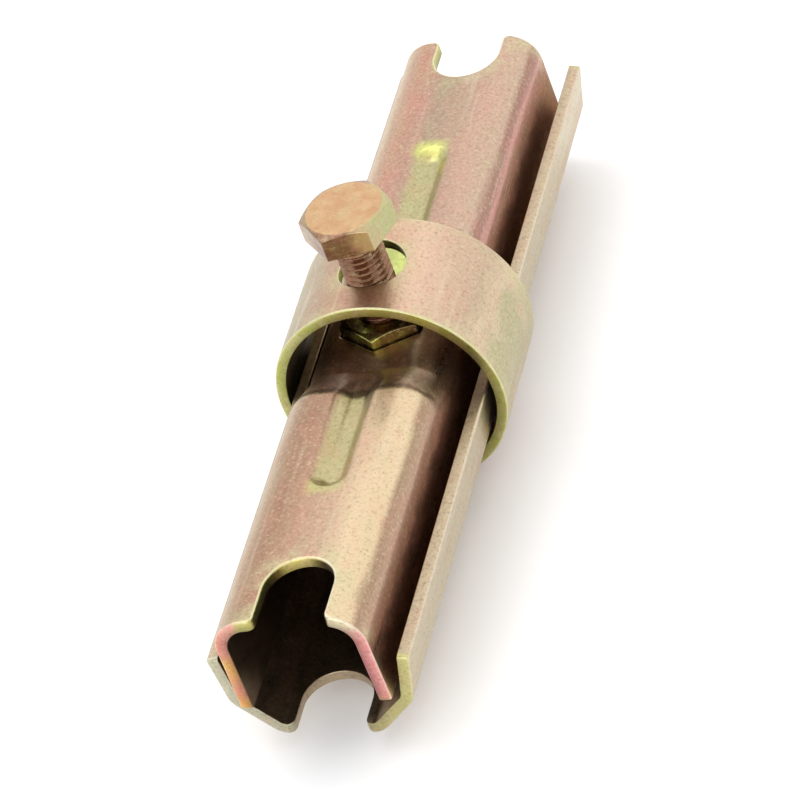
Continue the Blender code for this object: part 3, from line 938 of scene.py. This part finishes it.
def lower_film(n, place):
    """Pale beige with a hint of green."""
    x = n.drift(n.axis(place, "X"), place, 0.1, 5.0, (1.0, 0.2, 1.0))
    stops = [(-20, 196, 184, 150), (-14, 186, 160, 130), (0, 196, 172, 136)]
    return n.bands(x, stops + [(14, 206, 180, 148), (20, 214, 200, 168)])


def lower_cut(n, place):
    """Grey-green to olive across the ends, beige along the sides."""
    x = n.drift(n.axis(place, "X"), place, 0.2, 4.0, (1.0, 1.0, 1.0))
    ends = [(-20, 200, 198, 172), (-8, 190, 186, 160), (4, 168, 156, 124)]
    ends += [(12, 194, 184, 128), (20, 206, 200, 132)]
    along = n.maths("ABSOLUTE", n.axis(place, "Y"))
    at_end = n.between(along, LOWER_HALF / MM - 1.5, LOWER_HALF / MM - 0.5)
    return n.mix(at_end, srgb(206, 186, 156), n.bands(x, ends))


def collar_film_and_painted_light(n, place):
    """Tan with pink, greener round its sides. Across the tube it is lightest a little right of the middle
    and darker towards the left side: painted highlight and painted shade over the film's colours.
    """
    x = n.drift(n.axis(place, "X"), place, 0.08, 2.0, (1.0, 1.0, 1.0))
    stops = [(-24, 140, 134, 88), (-20, 172, 162, 122), (-14, 190, 168, 142), (-6, 200, 160, 134)]
    stops += [(2, 212, 174, 148), (8, 226, 192, 166), (13, 210, 178, 154), (18, 198, 174, 148)]
    stops += [(22, 216, 194, 164), (24, 190, 182, 142)]
    colour = n.bands(x, stops)
    rim = n.maths("MULTIPLY", n.attribute("edge"), n.grey(n.noise(place, 0.15, 2.0), 0.42, 0.60))
    return n.mix(n.maths("MULTIPLY", rim, 0.5), colour, srgb(214, 206, 156))


def collar_cut(n, place):
    """Yellow-green, paler in places."""
    cloud = n.grey(n.noise(place, 0.35, 3.0), 0.35, 0.65)
    return n.mix(cloud, srgb(194, 200, 100), srgb(214, 210, 144))


def bolt_film_and_painted_light(n, place):
    """Brown flats, peach on the right of the head, and a reddish brown thread. The flats' brown is
    partly the film's and partly painted shade, darkest on the front flats, and the peach on the right
    is painted light.
    """
    x, z = n.axis(place, "X"), n.axis(place, "Z")
    # Head flats by x: painted shade on the front, painted light on the right.
    stops = [(-9, 176, 158, 130), (-4, 134, 104, 84), (2, 132, 102, 82)]
    stops += [(5, 200, 176, 134), (9, 186, 190, 134)]
    side = n.bands(n.drift(x, place, 0.3, 1.5, (1.0, 1.0, 1.0)), stops)
    lines = n.grey(n.noise(place, 1.2, 2.0, 0.5, (0.1, 0.1, 3.0)), 0.45, 0.65, 0.0, 0.35)
    side = n.mix(lines, side, srgb(190, 156, 128))
    under = BOLT_TIP + BOLT_LENGTH
    return n.mix(n.between(z, under - 1.5, under - 0.5), srgb(140, 102, 80), side)


def bolt_cut(n, place):
    """The head's top: orange-tan, with pale scratches."""
    cloud = n.grey(n.noise(place, 0.3, 3.0), 0.35, 0.65)
    top = n.mix(cloud, srgb(208, 162, 118), srgb(218, 182, 136))
    turned = n.add("Mapping", Vector=place, Rotation=(0.0, 0.0, 0.5), Location=(7.0, 3.0, 0.0))
    place = turned.outputs["Vector"]
    scratch = n.grey(n.noise(place, 1.0, 2.0, 0.6, (0.12, 1.0, 0.1)), 0.64, 0.70, 0.0, 0.35)
    return n.mix(scratch, top, srgb(240, 222, 190))


def nut_film_and_painted_light(n, place):
    """Dark olive, with a bright yellow-green band across the middle: the band is a painted reflection
    and the dark either side painted shade, over the film's olive.
    """
    x = n.drift(n.axis(place, "X"), place, 0.3, 3.0, (1.0, 1.0, 1.0))
    stops = [(-9, 84, 72, 44), (-4, 96, 90, 50), (-1, 196, 204, 96), (2, 128, 122, 62)]
    return n.bands(x, stops + [(6, 104, 92, 54), (9, 90, 74, 46)])


def weld_film(n, place):
    cloud = n.grey(n.noise(place, 0.5, 3.0), 0.35, 0.65)
    return n.mix(cloud, srgb(150, 136, 92), srgb(190, 160, 128))


def materials():
    upper = plating("upper_half_zinc", upper_film_and_painted_light, upper_cut, inner_shade=0.6)
    lower = plating("lower_half_zinc", lower_film, lower_cut, inner_shade=0.2, grain=0.5)
    collar = plating("collar_zinc", collar_film_and_painted_light, collar_cut, rough=0.34)
    bolt = plating("bolt_zinc", bolt_film_and_painted_light, bolt_cut, rough=0.25, grain=0.2, wear=0.0)
    nut = plating("nut_zinc", nut_film_and_painted_light, nut_film_and_painted_light, rough=0.25, wear=0.0)
    weld = plating("weld_zinc", weld_film, weld_film, rough=0.45, wear=0.0)
    return upper, lower, collar, bolt, nut, weld


def build_floor(height):
    bm = bmesh.new()
    bmesh.ops.create_grid(bm, x_segments=1, y_segments=1, size=FLOOR_SIZE)
    mesh = bpy.data.meshes.new("floor")
    bm.to_mesh(mesh)
    bm.free()
    floor = bpy.data.objects.new("floor", mesh)
    floor.location.z = height
    bpy.context.scene.collection.objects.link(floor)
    n = Nodes("pale_floor")
    n.join(srgb(246, 246, 246), n.shader.inputs["Base Color"])
    n.shader.inputs["Roughness"].default_value = 0.6
    mesh.materials.append(n.material)


def softbox(name, place, target, size, power):
    light = bpy.data.lights.new(name, "AREA")
    light.shape = "RECTANGLE"
    light.size, light.size_y = size
    light.energy = power
    lamp = bpy.data.objects.new(name, light)
    lamp.location = place
    lamp.rotation_euler = (Vector(target) - Vector(place)).to_track_quat("-Z", "Y").to_euler()
    bpy.context.scene.collection.objects.link(lamp)


def build_studio():
    """Bright, nearly even light from all round, strongest high at the far right."""
    scene = bpy.context.scene
    world = bpy.data.worlds.new("studio")
    scene.world = world
    world.use_nodes = True
    tree = world.node_tree
    backdrop = tree.nodes["Background"]
    backdrop.inputs["Color"].default_value = (0.985, 0.99, 1.0, 1.0)
    direction = tree.nodes.new("ShaderNodeTexCoord")
    towards = tree.nodes.new("ShaderNodeVectorMath")
    towards.operation = "DOT_PRODUCT"
    towards.inputs[1].default_value = GLOW_DIRECTION
    tree.links.new(direction.outputs["Generated"], towards.inputs[0])
    glow = tree.nodes.new("ShaderNodeMapRange")
    glow.interpolation_type = "SMOOTHSTEP"
    for socket, value in zip(list(glow.inputs)[1:], (0.3, 1.0, SKY, SKY + GLOW)):
        socket.default_value = value
    tree.links.new(towards.outputs["Value"], glow.inputs["Value"])
    tree.links.new(glow.outputs["Result"], backdrop.inputs["Strength"])
    softbox("key", (-0.5, 0.1, 1.1), COLLAR_CENTRE, (0.9, 0.9), 3.0)
    softbox("fill", (0.0, -1.1, 0.45), COLLAR_CENTRE, (1.2, 0.6), 3.0)
    scene.view_settings.view_transform = "Standard"
    scene.view_settings.look = "None"


def build_camera():
    data = bpy.data.cameras.new("camera")
    data.lens = CAMERA_LENS
    data.sensor_width = 36.0
    camera = bpy.data.objects.new("camera", data)
    level = math.cos(CAMERA_ELEVATION)
    across, back = math.sin(CAMERA_AZIMUTH) * level, -math.cos(CAMERA_AZIMUTH) * level
    away = Vector((across, back, math.sin(CAMERA_ELEVATION)))
    turn = (-away).to_track_quat("-Z", "Y").to_matrix() @ Matrix.Rotation(CAMERA_ROLL, 3, "Z")
    place = COLLAR_CENTRE + CAMERA_AIM + CAMERA_DISTANCE * away
    camera.matrix_world = Matrix.Translation(place) @ turn.to_4x4()
    bpy.context.scene.collection.objects.link(camera)
    bpy.context.scene.camera = camera


upper_zinc, lower_zinc, collar_zinc, bolt_zinc, nut_zinc, weld_zinc = materials()
build_camera()
build_lower(lower_zinc)
build_upper(upper_zinc)
build_collar(collar_zinc)
build_bolt(bolt_zinc)
build_nut(nut_zinc)
build_weld("nut_weld_far", NUT_CORNER + math.radians(30), weld_zinc)
build_weld("nut_weld_near", NUT_CORNER + math.radians(210), weld_zinc)
build_studio()
low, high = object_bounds()
build_floor(low.z)
{"cad": [list(c) for c in cad_box], "visual": [list(c) for c in (low, high)]}
